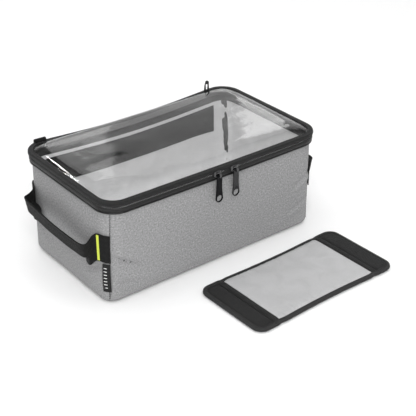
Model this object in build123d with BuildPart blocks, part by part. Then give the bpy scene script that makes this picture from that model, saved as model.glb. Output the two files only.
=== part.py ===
from build123d import *

import os
from math import cos, radians, sin

os.makedirs("parts", exist_ok=True)

# A soft rectangular luggage bag with a zipped clear lid, two end handles and a loose divider.
# X runs along the bag, -Y is the side with the two zip sliders and +Z is up. The origin is the
# centre of the bag's flat base. All lengths are in millimetres.

# Plan of the bag at the base seam and at the top of the wall
base_length = 378.0
base_width = 206.0
base_radius = 22.0
top_length = 372.0
top_width = 220.0
top_radius = 28.0
tray_height = 7.0
wall_top = 147.0
bevel_height = 2.5
bevel_inset = 2.0
foot_inset = 7.0

# Wall build-up, from the outside in
outer_thickness = 0.9
foam_outside = 1.0
foam_inside = 4.0
lining_outside = 4.1
lining_inside = 4.6
trim_outside = 4.7
seam_gap = 0.1
seam_reach = 12.0
foam_corner_gap = 2.0

# Trim inside the walls: loop strips, corner and base seam bindings, facing
strip_low = 90.0
strip_high = 136.0
strip_length = 312.0
strip_thickness = 1.2
corner_binding_width = 6.0
corner_binding_depth = 1.4
corner_binding_gap = 0.4
corner_binding_high = 141.0
base_binding_high = 10.0
base_binding_thickness = 1.5
facing_low = 141.5
facing_thickness = 1.0

# Base build-up
board_low = 1.0
board_high = 3.5
board_inset = 8.0
floor_low = 3.6
floor_high = 4.1
floor_inset = 3.4

# Rim and zip: heights, and how far each ring stands out of the wall's top outline
piping_low = 143.9
piping_high = 146.9
piping_inner_reach = 0.1
piping_rounding = 1.4
ledge_high = 148.2
ledge_inner_reach = -5.6
rim_reach = 3.9
tape_thickness = 1.0
coil_outer_reach = 2.8
coil_inner_reach = 0.4
lower_coil_low = 149.0
lower_coil_high = 152.8
upper_coil_high = 159.0
stop_size = 2.4
stop_depth = 2.2
lower_tape_high = 153.0
upper_tape_low = 155.2
upper_tape_high = 160.4
binding_reach = 5.0
binding_low = 156.5
binding_high = 161.6
binding_thickness = 1.0
binding_cover = -3.5
zip_end = 150.0
hinge_low = 148.7

# Lid window
window_low = 159.9
window_flange_high = 160.5
window_thickness = 0.6
window_flange_reach = 1.5
window_flange_radius = 29.5
dome_steps = [(window_flange_high, -4.0, 24.0), (165.5, -9.0, 22.0), (169.5, -32.0, 18.0)]

# Webbing loops on the lid
loop_thickness = 3.9
loop_layer = 1.2
loop_rounding = 1.3

# Zip sliders and pulls
slider_middle = 154.1
slider_back_face = 108.9
slider_back_thickness = 1.0
slider_front_face = 115.4
slider_front_thickness = 1.5
slider_height = 9.6
slider_back_width = 12.0
slider_front_width = 13.0
slider_neck_width = 6.0
slider_neck_height = 1.4
bail_depth = 5.6
bail_height = 6.7
bail_slot_depth = 4.1
bail_slot_height = 3.9
bail_width = 3.0
bail_raise = 0.45
pull_axis_y = -119.0
pull_axis_z = 152.2
pull_thickness = 2.0
pull_width = 9.2
pull_ring_radius = 6.4
pull_length = 43.0
pull_above_axis = 0.9
pull_rounding = 2.4
pull_slot_width = 5.0
pull_slot_height = 5.1
pull_slot_drop = 3.45
pull_hole_radius = 4.6
pull_hole_drop = 35.7
slider_places = {"left": -8.0, "right": 22.0}

# Handles
webbing_width = 42.0
webbing_thickness = 2.0
handle_axis_x = 194.0
handle_axis_z = 86.0
handle_ear_radius = 5.5
anchor_end_y = 84.0
ear_outer_y = 82.0
ear_thickness = 3.0
grip_inner_x = 206.0
grip_outer_x = 213.0
grip_height = 22.0
stripe_width = 3.0
stripe_gap = 0.2
stripe_outside = 2.6
wall_gap = 0.05

# Tag in the front left seam
tag_low = 20.0
tag_high = 64.0
tag_end_y = 91.0
tag_outside = 1.3

# Divider, which lies beside the bag
divider_length = 263.0
divider_width = 132.0
divider_radius = 17.0
divider_fold = 100.5
divider_binding = 7.4
divider_thickness = 6.2
channel_low = 0.85
channel_height = 4.5
channel_depth = 5.0
layer_inset = 5.1
backing_low = 0.9
backing_high = 1.3
core_low = 1.35
core_high = 4.85
face_low = 4.9
face_high = 5.3
hook_low = 5.35
hook_high = 6.3
hook_length = 41.5
fold_gap = 0.2
divider_turn = radians(1.1)
divider_plane = Plane(origin=(62, -213.6, 0), x_dir=(cos(divider_turn), sin(divider_turn), 0), z_dir=(0, 0, 1))

sides = {"front": (0, -1), "back": (0, 1), "left": (-1, 0), "right": (1, 0)}


def outline(height, inset):
    """Length, width and corner radius of the bag's plan at a height, moved in by inset."""
    share = (height - tray_height) / (wall_top - tray_height)
    length = base_length + (top_length - base_length) * share
    width = base_width + (top_width - base_width) * share
    radius = base_radius + (top_radius - base_radius) * share
    return length - 2 * inset, width - 2 * inset, radius - inset


def plan_sketch(height, inset):
    """The bag's rounded plan, drawn at a height."""
    length, width, radius = outline(height, inset)
    with BuildSketch(Plane.XY.offset(height)) as plan:
        RectangleRounded(length, width, radius)
    return plan.sketch


def taper_block(low, high, inset, mode=Mode.ADD):
    """The tapered block inside the bag's walls, between two heights."""
    loft([plan_sketch(low, inset), plan_sketch(high, inset)], ruled=True, mode=mode)


def seam_wedge(low, high, side):
    """Keep what lies between the two corner seams of one side."""
    out_x, out_y = sides[side]
    sections = []
    for height in (low, high):
        length, width, radius = outline(height, 0)
        centre_x = length / 2 - radius
        centre_y = width / 2 - radius
        out = centre_x if out_x else centre_y
        along = (centre_y if out_x else centre_x) - seam_gap / 2
        far = out + base_radius + seam_reach
        wide = along + base_radius + seam_reach
        corners = [(out, -along), (far, -wide), (far, wide), (out, along)]
        points = [(out_x * a - out_y * b, out_y * a + out_x * b) for a, b in corners]
        with BuildSketch(Plane.XY.offset(height)) as wedge:
            Polygon(*points, align=None)
        sections.append(wedge.sketch)
    loft(sections, ruled=True, mode=Mode.INTERSECT)


def save(builder, label):
    """Name a finished piece and write it."""
    builder.part.label = label
    export_step(builder.part, f"parts/{label}.step")


# Outer fabric: four panels that meet in the corner seams, and the base
for side in sides:
    with BuildPart() as outer_panel:
        taper_block(tray_height, wall_top, 0)
        taper_block(tray_height, wall_top, outer_thickness, Mode.SUBTRACT)
        seam_wedge(tray_height, wall_top, side)
    save(outer_panel, f"outer_{side}")

# The base turns up into the wall in two bevels
with BuildPart() as outer_base:
    for height, inset in ((0, foot_inset), (bevel_height, bevel_inset), (tray_height, 0)):
        length, width, radius = outline(tray_height, inset)
        with BuildSketch(Plane.XY.offset(height)):
            RectangleRounded(length, width, radius)
    loft(ruled=True)
    for height, inset in (
        (outer_thickness, foot_inset + 0.2),
        (bevel_height + 0.6, bevel_inset + outer_thickness),
        (tray_height, outer_thickness),
    ):
        length, width, radius = outline(tray_height, inset)
        with BuildSketch(Plane.XY.offset(height)):
            RectangleRounded(length, width, radius)
    loft(ruled=True, mode=Mode.SUBTRACT)
save(outer_base, "outer_base")

# Foam boards: flat, and clear of the rounded corners
for side, (out_x, out_y) in sides.items():
    with BuildPart() as foam_board:
        for height in (tray_height, wall_top):
            length, width, radius = outline(height, 0)
            middle = (length if out_x else width) / 2 - (foam_outside + foam_inside) / 2
            run = (width if out_x else length) - 2 * radius - 2 * foam_corner_gap
            depth = foam_inside - foam_outside
            with BuildSketch(Plane.XY.offset(height)):
                with Locations((out_x * middle, out_y * middle)):
                    Rectangle(depth if out_x else run, run if out_x else depth)
        loft(ruled=True)
    save(foam_board, f"foam_{side}")

with BuildPart() as base_board:
    taper_block(board_low, board_high, board_inset)
save(base_board, "base_board")

# Lining: four wall panels standing on the floor lining
for side in sides:
    with BuildPart() as lining_panel:
        taper_block(floor_high, wall_top, lining_outside)
        taper_block(floor_high, wall_top, lining_inside, Mode.SUBTRACT)
        seam_wedge(floor_high, wall_top, side)
    save(lining_panel, f"lining_{side}")

with BuildPart() as lining_base:
    taper_block(floor_low, floor_high, floor_inset)
save(lining_base, "lining_base")

# Loop strips that the divider's hooks hold on to
for side in ("front", "back"):
    with BuildPart() as loop_strip:
        for height in (strip_low, strip_high):
            length, width, radius = outline(height, 0)
            middle = width / 2 - trim_outside - strip_thickness / 2
            with BuildSketch(Plane.XY.offset(height)):
                with Locations((0, sides[side][1] * middle)):
                    Rectangle(strip_length, strip_thickness)
        loft(ruled=True)
    save(loop_strip, f"loop_strip_{side}")

# Binding over the four inner corner seams
with BuildPart() as corner_bindings:
    for sign_x in (-1, 1):
        for sign_y in (-1, 1):
            for height in (base_binding_high + seam_gap, corner_binding_high):
                length, width, radius = outline(height, 0)
                from_seam = trim_outside + corner_binding_gap + corner_binding_depth / 2
                reach = (radius - from_seam) * sin(radians(45))
                place_x = sign_x * (length / 2 - radius + reach)
                place_y = sign_y * (width / 2 - radius + reach)
                with BuildSketch(Plane.XY.offset(height)):
                    with Locations(Location((place_x, place_y, 0), (0, 0, 45 * sign_x * sign_y))):
                        Rectangle(corner_binding_depth, corner_binding_width)
            loft(ruled=True)
save(corner_bindings, "corner_bindings")

with BuildPart() as base_seam_binding:
    taper_block(floor_high + seam_gap, base_binding_high, trim_outside)
    base_binding_inside = trim_outside + base_binding_thickness
    taper_block(floor_high + seam_gap, base_binding_high, base_binding_inside, Mode.SUBTRACT)
save(base_seam_binding, "base_seam_binding")

with BuildPart() as facing_band:
    taper_block(facing_low, wall_top, trim_outside)
    taper_block(facing_low, wall_top, trim_outside + facing_thickness, Mode.SUBTRACT)
save(facing_band, "facing_band")


def rim_ring(low, high, outer_reach, inner_reach):
    """A level ring that follows the rim, between two distances out from the wall's top."""
    with BuildSketch(Plane.XY.offset(low)) as ring:
        RectangleRounded(top_length + 2 * outer_reach, top_width + 2 * outer_reach, top_radius + outer_reach)
        RectangleRounded(
            top_length + 2 * inner_reach,
            top_width + 2 * inner_reach,
            top_radius + inner_reach,
            mode=Mode.SUBTRACT,
        )
    extrude(ring.sketch, amount=high - low)


def open_at_back(half_length, low, high, inside):
    """Cut a ring away behind the bag, between plus and minus half_length."""
    with BuildSketch(Plane.XY.offset(low)) as opening:
        with Locations((0, inside)):
            Rectangle(2 * half_length, 20, align=(Align.CENTER, Align.MIN))
    extrude(opening.sketch, amount=high - low, mode=Mode.SUBTRACT)


# Rim of the bag: bead, sewn ledge, lower zip tape, coil and end stops
with BuildPart() as rim_piping:
    rim_ring(piping_low, piping_high, rim_reach, piping_inner_reach)
    bead_faces = rim_piping.faces().filter_by(Axis.Z)
    bead_edges = [face.outer_wire().edges() for face in bead_faces]
    fillet([edge for edges in bead_edges for edge in edges], radius=piping_rounding)
save(rim_piping, "rim_piping")

ledge_cut = top_width / 2 + rim_reach - tape_thickness
with BuildPart() as rim_ledge:
    rim_ring(wall_top, ledge_high, rim_reach, ledge_inner_reach)
    open_at_back(zip_end + 1, wall_top, ledge_high, ledge_cut)
save(rim_ledge, "rim_ledge")

with BuildPart() as zip_tape_lower:
    rim_ring(ledge_high, lower_tape_high, rim_reach, rim_reach - tape_thickness)
    open_at_back(zip_end, ledge_high, lower_tape_high, top_width / 2)
save(zip_tape_lower, "zip_tape_lower")

with BuildPart() as zip_coil_lower:
    rim_ring(lower_coil_low, lower_coil_high, coil_outer_reach, coil_inner_reach)
    open_at_back(zip_end, lower_coil_low, lower_coil_high, top_width / 2)
save(zip_coil_lower, "zip_coil_lower")

with BuildPart() as zip_stops:
    with BuildSketch(Plane.XY.offset(lower_coil_low)):
        stop_x = zip_end - 1.5
        stop_y = top_width / 2 + (coil_inner_reach + coil_outer_reach) / 2
        with Locations((-stop_x, stop_y), (stop_x, stop_y)):
            RectangleRounded(stop_size, stop_depth, 0.5)
    extrude(amount=lower_coil_high - lower_coil_low)
save(zip_stops, "zip_stops")

# Lid: upper zip tape and coil, hinge band, binding, clear window and two loops
with BuildPart() as zip_tape_upper:
    rim_ring(upper_tape_low, upper_tape_high, rim_reach, rim_reach - tape_thickness)
    open_at_back(zip_end, upper_tape_low, upper_tape_high, top_width / 2)
save(zip_tape_upper, "zip_tape_upper")

with BuildPart() as zip_coil_upper:
    rim_ring(upper_tape_low, upper_coil_high, coil_outer_reach, coil_inner_reach)
    open_at_back(zip_end, upper_tape_low, upper_coil_high, top_width / 2)
save(zip_coil_upper, "zip_coil_upper")

with BuildPart() as hinge_band:
    with BuildSketch(Plane.XY.offset(hinge_low)):
        with Locations((0, ledge_cut)):
            Rectangle(2 * (zip_end - 1), tape_thickness, align=(Align.CENTER, Align.MIN))
    extrude(amount=upper_tape_high - hinge_low)
save(hinge_band, "hinge_band")

with BuildPart() as lid_binding:
    rim_ring(binding_low, binding_high, binding_reach, binding_reach - binding_thickness)
    rim_ring(binding_high - binding_thickness, binding_high, binding_reach, binding_cover)
save(lid_binding, "lid_binding")


def window_section(height, reach, radius):
    """One level section of the lid window's dome."""
    with BuildSketch(Plane.XY.offset(height)) as section:
        RectangleRounded(top_length + 2 * reach, top_width + 2 * reach, radius)
    return section.sketch


with BuildPart() as lid_window:
    flange = window_section(window_low, window_flange_reach, window_flange_radius)
    extrude(flange, amount=window_flange_high - window_low)
    loft([window_section(*step) for step in dome_steps], ruled=True)
    inner_steps = [[value - window_thickness for value in step] for step in dome_steps]
    loft([window_section(*step) for step in inner_steps], ruled=True, mode=Mode.SUBTRACT)
save(lid_window, "lid_window")


def webbing_loop(label, place, turn, width, height):
    """A strip of webbing folded over into a narrow loop that stands on the lid's binding."""
    base = Plane(origin=(place[0], place[1], binding_high), x_dir=(cos(turn), sin(turn), 0), z_dir=(0, 0, 1))
    section = Plane(origin=base.origin, x_dir=base.y_dir, z_dir=base.x_dir)
    with BuildPart() as loop:
        with BuildSketch(section):
            with Locations((0, height / 2)):
                RectangleRounded(loop_thickness, height, loop_rounding)
            Rectangle(loop_thickness, 1.1 * loop_rounding, align=(Align.CENTER, Align.MIN))
            inside = loop_thickness - 2 * loop_layer
            Rectangle(inside, height - loop_layer, align=(Align.CENTER, Align.MIN), mode=Mode.SUBTRACT)
        extrude(amount=width / 2, both=True)
    save(loop, label)


webbing_loop("loop_left", (-159.0, 111.0), 0.0, 18.0, 5.4)
webbing_loop("loop_right", (148.0, 110.3), radians(40.0), 11.0, 14.4)

# Zip sliders: a body that grips both tapes, with a bail for the pull, and the pull itself
for name, place in slider_places.items():
    with BuildPart() as slider:
        with BuildSketch(Plane.XZ.offset(slider_back_face)):
            with Locations((place, slider_middle)):
                RectangleRounded(slider_back_width, slider_height, 2)
        extrude(amount=slider_back_thickness)
        with BuildSketch(Plane.XZ.offset(slider_back_face + slider_back_thickness)):
            with Locations((place, slider_middle)):
                Rectangle(slider_neck_width, slider_neck_height)
        extrude(amount=slider_front_face - slider_back_face - slider_back_thickness)
        with BuildSketch(Plane.XZ.offset(slider_front_face)):
            with Locations((place, slider_middle)):
                RectangleRounded(slider_front_width, slider_height, 2.4)
        extrude(amount=slider_front_thickness)
        bail_face = -(slider_front_face + slider_front_thickness)
        with BuildSketch(Plane.YZ.offset(place)):
            bail_align = (Align.MAX, Align.CENTER)
            with Locations((bail_face, pull_axis_z + bail_raise)):
                Rectangle(bail_depth, bail_height, align=bail_align)
                Rectangle(bail_slot_depth, bail_slot_height, align=bail_align, mode=Mode.SUBTRACT)
        extrude(amount=bail_width / 2, both=True)
    save(slider, f"slider_{name}")

    with BuildPart() as pull:
        with BuildSketch(Plane.XZ.offset(-pull_axis_y - pull_thickness / 2)):
            with Locations((place, pull_axis_z + pull_above_axis - pull_length / 2)):
                RectangleRounded(pull_width, pull_length, pull_rounding)
            with Locations((place, pull_axis_z - pull_slot_drop)):
                Rectangle(pull_slot_width, pull_slot_height, mode=Mode.SUBTRACT)
            with Locations((place, pull_axis_z - pull_hole_drop)):
                Circle(pull_ring_radius)
                Circle(pull_hole_radius, mode=Mode.SUBTRACT)
        extrude(amount=pull_thickness)
        rims = pull.faces().filter_by(Axis.Y).edges().filter_by(GeomType.CIRCLE)
        fillet(rims.filter_by(lambda edge: abs(edge.radius - pull_hole_radius) < 0.1), radius=0.5)
    save(pull, f"pull_{name}")


def wrap_patch(low, high, near, far, plan):
    """A strip that lies on the bag's wall, from one stand-off to another, inside a plan polygon."""
    taper_block(low, high, -far)
    taper_block(low, high, -near, Mode.SUBTRACT)
    with BuildSketch(Plane.XY.offset(low)) as limits:
        Polygon(*plan, align=None)
    extrude(limits.sketch, amount=high - low, both=True, mode=Mode.INTERSECT)


def corner_plan(sign_x, sign_y, last_y):
    """Plan of the space between a corner seam and the distance last_y along the end wall."""
    length, width, radius = outline(handle_axis_z, 0)
    centre_x = length / 2 - radius
    centre_y = width / 2 - radius
    far = radius + seam_reach
    corners = [
        (centre_x, centre_y),
        (centre_x + far, centre_y + far),
        (centre_x + 2 * far, centre_y + far),
        (centre_x + 2 * far, last_y),
        (centre_x, min(last_y, centre_y)),
    ]
    points = [(sign_x * x, sign_y * y) for x, y in corners]
    return points if sign_x * sign_y < 0 else points[::-1]


# Handles: webbing sewn into the corner seams, and a folded grip that swings on it
for name, sign in (("left", -1), ("right", 1)):
    webbing_low = handle_axis_z - webbing_width / 2
    webbing_high = handle_axis_z + webbing_width / 2
    anchors = []
    for end in (-1, 1):
        with BuildPart() as anchor:
            plan = corner_plan(sign, end, anchor_end_y)
            wrap_patch(webbing_low, webbing_high, wall_gap, webbing_thickness, plan)
        anchors.append(anchor.part)
    with BuildPart() as handle_anchors:
        add(anchors)
    save(handle_anchors, f"handle_anchors_{name}")

    with BuildPart() as handle:
        for end in (-1, 1):
            with BuildSketch(Plane.XZ.offset(-end * ear_outer_y)):
                with Locations((sign * handle_axis_x, handle_axis_z)):
                    Circle(handle_ear_radius)
                with Locations((sign * (handle_axis_x + grip_inner_x + 2) / 2, handle_axis_z)):
                    Rectangle(grip_inner_x + 2 - handle_axis_x, 2 * handle_ear_radius)
            extrude(amount=end * ear_thickness)
        with BuildSketch(Plane.XZ.offset(-ear_outer_y)):
            with Locations((sign * (grip_inner_x + grip_outer_x) / 2, handle_axis_z)):
                RectangleRounded(grip_outer_x - grip_inner_x, grip_height, 3)
        extrude(amount=2 * ear_outer_y)
    save(handle, f"handle_{name}")

# Bright stripe across the left handle's front webbing
stripe_start = -anchor_end_y - stripe_gap
stripe_end = stripe_start - stripe_width
stripe_plan = [(-240, stripe_start), (-240, stripe_end), (-150, stripe_end), (-150, stripe_start)]
with BuildPart() as accent_stripe:
    wrap_patch(webbing_low, webbing_high, webbing_thickness + wall_gap, stripe_outside, stripe_plan)
save(accent_stripe, "accent_stripe")

# Folded tag sewn into the front left corner seam, under the handle's webbing
with BuildPart() as seam_tag:
    wrap_patch(tag_low, tag_high, wall_gap, tag_outside, corner_plan(-1, -1, tag_end_y))
save(seam_tag, "seam_tag")


def divider_layer(label, low, high, inset, ranges):
    """A flat layer of the divider, kept only in the given ranges of its length."""
    with BuildPart() as layer:
        for start, stop in ranges:
            with BuildSketch(divider_plane.offset(low)):
                RectangleRounded(divider_length - 2 * inset, divider_width - 2 * inset, divider_radius - inset)
                with Locations(((start + stop) / 2, 0)):
                    Rectangle(stop - start, divider_width, mode=Mode.INTERSECT)
            extrude(amount=high - low)
    save(layer, label)


def divider_edge(label, start, stop):
    """The binding round the divider's edge, with a channel that holds the layers."""
    with BuildPart() as edge:
        with BuildSketch(divider_plane):
            RectangleRounded(divider_length, divider_width, divider_radius)
            inner = divider_binding
            RectangleRounded(
                divider_length - 2 * inner,
                divider_width - 2 * inner,
                divider_radius - inner,
                mode=Mode.SUBTRACT,
            )
            with Locations(((start + stop) / 2, 0)):
                Rectangle(stop - start, divider_width, mode=Mode.INTERSECT)
        extrude(amount=divider_thickness)
        with BuildSketch(divider_plane.offset(channel_low)):
            RectangleRounded(
                divider_length - 2 * channel_depth,
                divider_width - 2 * channel_depth,
                divider_radius - channel_depth,
            )
        extrude(amount=channel_height, mode=Mode.SUBTRACT)
    save(edge, label)


middle_range = (-divider_fold + fold_gap, divider_fold - fold_gap)
hook_start = divider_length / 2 - hook_length
divider_edge("divider_side_bindings", *middle_range)
divider_layer("divider_backing", backing_low, backing_high, layer_inset, [middle_range])
divider_layer("divider_core", core_low, core_high, layer_inset, [middle_range])
divider_layer("divider_face", face_low, face_high, layer_inset, [middle_range])
hook_ranges = [(middle_range[0], -hook_start), (hook_start, middle_range[1])]
divider_layer("divider_hook_strips", hook_low, hook_high, divider_binding + 0.1, hook_ranges)
for name, sign in (("left", -1), ("right", 1)):
    flap_ends = sorted((sign * (divider_fold + fold_gap), sign * divider_length / 2))
    divider_edge(f"flap_{name}_binding", *flap_ends)
    divider_layer(f"flap_{name}_web", backing_low, face_high, layer_inset, [flap_ends])
    divider_layer(f"flap_{name}_hook", hook_low, hook_high, divider_binding + 0.1, [flap_ends])
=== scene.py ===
import math
from math import cos, hypot, pi, radians, sin, sqrt

import bmesh
import bpy
import numpy as np
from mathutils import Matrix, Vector, noise


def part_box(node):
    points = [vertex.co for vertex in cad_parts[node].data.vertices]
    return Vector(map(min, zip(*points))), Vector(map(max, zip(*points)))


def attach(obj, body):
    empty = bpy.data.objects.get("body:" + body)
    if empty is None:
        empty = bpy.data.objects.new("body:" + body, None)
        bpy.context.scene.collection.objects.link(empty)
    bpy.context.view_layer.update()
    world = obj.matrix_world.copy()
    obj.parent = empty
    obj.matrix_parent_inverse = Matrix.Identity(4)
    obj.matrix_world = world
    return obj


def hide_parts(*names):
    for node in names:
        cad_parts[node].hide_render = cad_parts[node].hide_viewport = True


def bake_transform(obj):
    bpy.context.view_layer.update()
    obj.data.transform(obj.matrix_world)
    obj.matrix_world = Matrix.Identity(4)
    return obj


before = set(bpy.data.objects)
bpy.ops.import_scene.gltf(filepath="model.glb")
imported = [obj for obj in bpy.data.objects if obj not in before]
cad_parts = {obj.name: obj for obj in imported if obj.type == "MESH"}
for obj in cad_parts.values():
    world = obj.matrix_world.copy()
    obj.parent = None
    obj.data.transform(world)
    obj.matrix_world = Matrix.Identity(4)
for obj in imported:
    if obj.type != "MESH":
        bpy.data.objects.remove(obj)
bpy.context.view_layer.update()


def box_mm(node):
    """A CAD node's lowest and highest corners, in millimetres."""
    low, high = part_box(node)
    return np.array(low) * 1000, np.array(high) * 1000


# Sizes read from the frame
BASE_HALF = box_mm("outer_base")[1][:2]
LEDGE_HALF = box_mm("rim_ledge")[1][:2]
WALL_TOP = box_mm("outer_front")[1][2]
TRAY_HIGH = box_mm("outer_base")[1][2]
RIM_STAND = 3.9
TOP_HALF = LEDGE_HALF - RIM_STAND
TOP_RADIUS = 28.0
BASE_RADIUS = 15.0
PIPING_LOW, PIPING_HIGH = box_mm("rim_piping")[0][2], box_mm("rim_piping")[1][2]
LEDGE_HIGH = box_mm("rim_ledge")[1][2]
LOWER_TAPE_HIGH = box_mm("zip_tape_lower")[1][2]
UPPER_TAPE_LOW = box_mm("zip_tape_upper")[0][2]
LID_HIGH = box_mm("lid_binding")[1][2]
STRIP_LOW, STRIP_HIGH = box_mm("loop_strip_back")[0][2], box_mm("loop_strip_back")[1][2]
TAG_LOW, TAG_HIGH = box_mm("seam_tag")[0][2], box_mm("seam_tag")[1][2]
ZIP_END = 150.0
WEB = 42.0


# Small maths
def xyz(*parts):
    """Points from their coordinates."""
    return np.stack(parts, axis=-1)


def smooth(low, high, value):
    """0 below low, 1 above high, and an S between them."""
    t = np.clip((np.asarray(value, float) - low) / (high - low), 0, 1)
    return t * t * (3 - 2 * t)


def hump(centre, width, value):
    """A bell of height 1 round centre."""
    return np.exp(-(((np.asarray(value, float) - centre) / width) ** 2))


def cloud(points, scale, seed=0.0):
    """Smooth noise from -1 to 1 at each point, with features about scale millimetres across."""
    flat = np.asarray(points, float).reshape(-1, 3) / scale + seed
    values = [noise.noise(Vector(p)) for p in flat]
    return np.array(values).reshape(np.asarray(points).shape[:-1])


def crease(s, z, start, end, depth, width):
    """A pinched fold from start to end on a wall: a groove with a soft ridge above it."""
    a, b = np.array(start, float), np.array(end, float)
    along = b - a
    length = np.hypot(*along)
    along = along / length
    t = ((s - a[0]) * along[0] + (z - a[1]) * along[1]) / length
    d = -(s - a[0]) * along[1] + (z - a[1]) * along[0]
    fade = smooth(-0.12, 0.1, t) * (1 - smooth(0.55, 1.1, t))
    return fade * depth * (0.7 * hump(1.9 * width, 1.5 * width, d) - hump(0, width, d))


def settle(points):
    """The soft bag's own sag: the back of the rim hangs, and the front dips a little between its corners."""
    p = np.array(points, float)
    x, y, z = p[..., 0], p[..., 1], p[..., 2]
    high = smooth(40, WALL_TOP, z)
    span = np.clip(1 - (x / 168) ** 2, 0, 1) ** 1.3
    p[..., 2] = z - high * span * (6.8 * smooth(10, 112, y) + 1.0 * smooth(-20, -112, y))
    return p


# Meshes
def make_mesh(name, verts, faces, material, uvs=None, sharp=48):
    """A smooth-shaded mesh object from millimetre points."""
    mesh = bpy.data.meshes.new(name)
    mesh.from_pydata([tuple(v) for v in np.asarray(verts, float) / 1000], [], [tuple(f) for f in faces])
    if uvs is not None:
        layer = mesh.uv_layers.new(name="cloth")
        flat = np.array([uv for face in uvs for uv in face], float) / 1000
        layer.data.foreach_set("uv", flat.ravel())
    mesh.validate()
    shell = bmesh.new()
    shell.from_mesh(mesh)
    bmesh.ops.recalc_face_normals(shell, faces=shell.faces)
    shell.to_mesh(mesh)
    shell.free()
    mesh.shade_smooth()
    mesh.set_sharp_from_angle(angle=radians(sharp))
    obj = bpy.data.objects.new(name, mesh)
    bpy.context.scene.collection.objects.link(obj)
    mesh.materials.append(material)
    return obj


def run_lengths(grid):
    """Distance along the middle row and the middle column of a grid, for its weave."""
    rows, columns = grid.shape[:2]
    across = np.linalg.norm(np.diff(grid[rows // 2], axis=0), axis=1)
    down = np.linalg.norm(np.diff(grid[:, columns // 2], axis=0), axis=1)
    return np.concatenate([[0], np.cumsum(across)]), np.concatenate([[0], np.cumsum(down)])


def grid_faces(rows, columns, offset=0, flip=False):
    """Quads of a grid, with their row and column corners."""
    faces, corners = [], []
    for i in range(rows - 1):
        for j in range(columns - 1):
            quad = [(i, j), (i, j + 1), (i + 1, j + 1), (i + 1, j)]
            if flip:
                quad = quad[::-1]
            corners.append(quad)
            faces.append([offset + a * columns + b for a, b in quad])
    return faces, corners


def unit(vectors):
    """Vectors at unit length."""
    return vectors / np.linalg.norm(vectors, axis=1, keepdims=True)


def surface_normals(grid):
    """Unit normals of a grid of points, pointing along column step cross row step."""
    du = np.gradient(grid, axis=1)
    dv = np.gradient(grid, axis=0)
    n = np.cross(du, dv)
    return n / np.maximum(np.linalg.norm(n, axis=2, keepdims=True), 1e-9)


def slab(name, grid, thickness, material):
    """A sheet with real thickness: the grid is its face, and its back lies thickness behind."""
    grid = np.asarray(grid, float)
    rows, columns = grid.shape[:2]
    back = grid - thickness * surface_normals(grid)
    front_faces, front_corners = grid_faces(rows, columns)
    back_faces, back_corners = grid_faces(rows, columns, rows * columns, flip=True)
    rim = [(0, j) for j in range(columns)] + [(i, columns - 1) for i in range(1, rows)]
    rim += [(rows - 1, j) for j in range(columns - 2, -1, -1)] + [(i, 0) for i in range(rows - 2, 0, -1)]
    edge_faces, edge_corners = [], []
    for a, b in zip(rim, rim[1:] + rim[:1]):
        one, two = a[0] * columns + a[1], b[0] * columns + b[1]
        edge_faces.append([two, one, one + rows * columns, two + rows * columns])
        edge_corners.append([b, a, a, b])
    u, v = run_lengths(grid)
    corners = front_corners + back_corners + edge_corners
    uvs = [[(u[j], v[i]) for i, j in quad] for quad in corners]
    verts = np.concatenate([grid.reshape(-1, 3), back.reshape(-1, 3)])
    return make_mesh(name, verts, front_faces + back_faces + edge_faces, material, uvs)


def tube(name, grid, material, closed_u=True):
    """A closed skin: rows run round the section, and columns run along it."""
    grid = np.asarray(grid, float)
    grid = np.concatenate([grid, grid[:1]], axis=0)
    if closed_u:
        grid = np.concatenate([grid, grid[:, :1]], axis=1)
    rows, columns = grid.shape[:2]
    last_row, last_column = rows - 1, columns - 1
    index = np.arange(rows * columns).reshape(rows, columns)
    index[last_row] = index[0]
    if closed_u:
        index[:, last_column] = index[:, 0]
    u, v = run_lengths(grid)
    faces, uvs = [], []
    for quad in grid_faces(rows, columns)[1]:
        faces.append([index[a, b] for a, b in quad])
        uvs.append([(u[b], v[a]) for a, b in quad])
    if not closed_u:
        for j, step in ((0, 1), (last_column, -1)):
            ring = [index[i, j] for i in range(rows - 1)][::step]
            faces.append(ring)
            uvs.append([(u[j], 0.0)] * len(ring))
    used = sorted(set(i for face in faces for i in face))
    place = {old: new for new, old in enumerate(used)}
    verts = grid.reshape(-1, 3)[used]
    return make_mesh(name, verts, [[place[i] for i in face] for face in faces], material, uvs)


def join(name, pieces):
    """Several meshes as one piece."""
    bpy.ops.object.select_all(action="DESELECT")
    for piece in pieces:
        piece.select_set(True)
    bpy.context.view_layer.objects.active = pieces[0]
    bpy.ops.object.join()
    pieces[0].name = name
    pieces[0].data.name = name
    return pieces[0]


def beads(name, places, directions, length, radius, material, ups=None):
    """Small rounded dashes, such as stitches or zip teeth, laid at places along directions."""
    verts, faces = [], []
    rings, sides = 5, 6
    for n, (place, direction) in enumerate(zip(places, directions)):
        d = np.array(direction, float)
        d = d / np.linalg.norm(d)
        up = np.array(ups[n], float) if ups is not None else np.array([0, 0, 1.0])
        if abs(d @ up) > 0.95:
            up = np.array([1.0, 0, 0])
        side = np.cross(d, up)
        side = side / np.linalg.norm(side)
        up = np.cross(side, d)
        first = len(verts)
        for k in range(rings):
            t = -1 + 2 * k / (rings - 1)
            swell = sqrt(max(1 - (0.94 * t) ** 2, 0.0)) ** 0.7
            for m in range(sides):
                a = 2 * pi * m / sides
                offset = side * cos(a) + up * sin(a)
                verts.append(np.array(place) + d * t * length / 2 + offset * radius * swell)
        for k in range(rings - 1):
            for m in range(sides):
                a, b = first + k * sides + m, first + k * sides + (m + 1) % sides
                faces.append([b, a, a + sides, b + sides])
        faces.append([first + m for m in range(sides)])
        faces.append([first + (rings - 1) * sides + m for m in range(sides - 1, -1, -1)])
    return make_mesh(name, verts, faces, material, sharp=80)


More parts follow.
